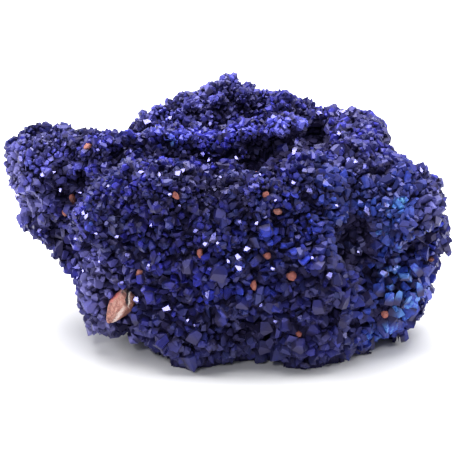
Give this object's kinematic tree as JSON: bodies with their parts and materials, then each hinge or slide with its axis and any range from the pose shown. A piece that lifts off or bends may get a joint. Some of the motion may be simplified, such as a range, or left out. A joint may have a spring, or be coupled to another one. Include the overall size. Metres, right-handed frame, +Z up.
{
  "type": "azurite specimen",
  "caption": "Lump of intergrown deep blue azurite crystals, with a front crest, a valley and ridge behind it and bits of pink host rock in its face, resting on a flat broken underside.",
  "frame": {"origin": "centre of the bounding box in X and Y, at the height of the flat underside", "axes": "+Z up from the flat underside, +X along the specimen's length to the right as seen from its front, +Y to its back"},
  "size_m": [0.071, 0.0398, 0.0369],
  "materials": {
    "azurite": "gloss",
    "pink_rock": "matte",
    "orange_rock": "matte"
  },
  "bodies": {
    "root": {"azurite_mass": "azurite", "rock_chip": "pink_rock", "rock_grain_01": "orange_rock", "rock_grain_02": "orange_rock", "rock_grain_03": "pink_rock", "rock_grain_04": "orange_rock", "rock_grain_05": "pink_rock", "rock_grain_06": "orange_rock", "rock_grain_07": "pink_rock", "rock_grain_08": "orange_rock", "rock_grain_09": "orange_rock", "rock_grain_10": "orange_rock", "rock_grain_11": "orange_rock", "rock_grain_12": "pink_rock", "rock_grain_13": "orange_rock", "rock_grain_14": "orange_rock", "rock_grain_15": "orange_rock", "rock_grain_16": "pink_rock", "rock_grain_17": "orange_rock", "rock_grain_18": "pink_rock", "rock_grain_19": "orange_rock"}
  },
  "joints": []
}
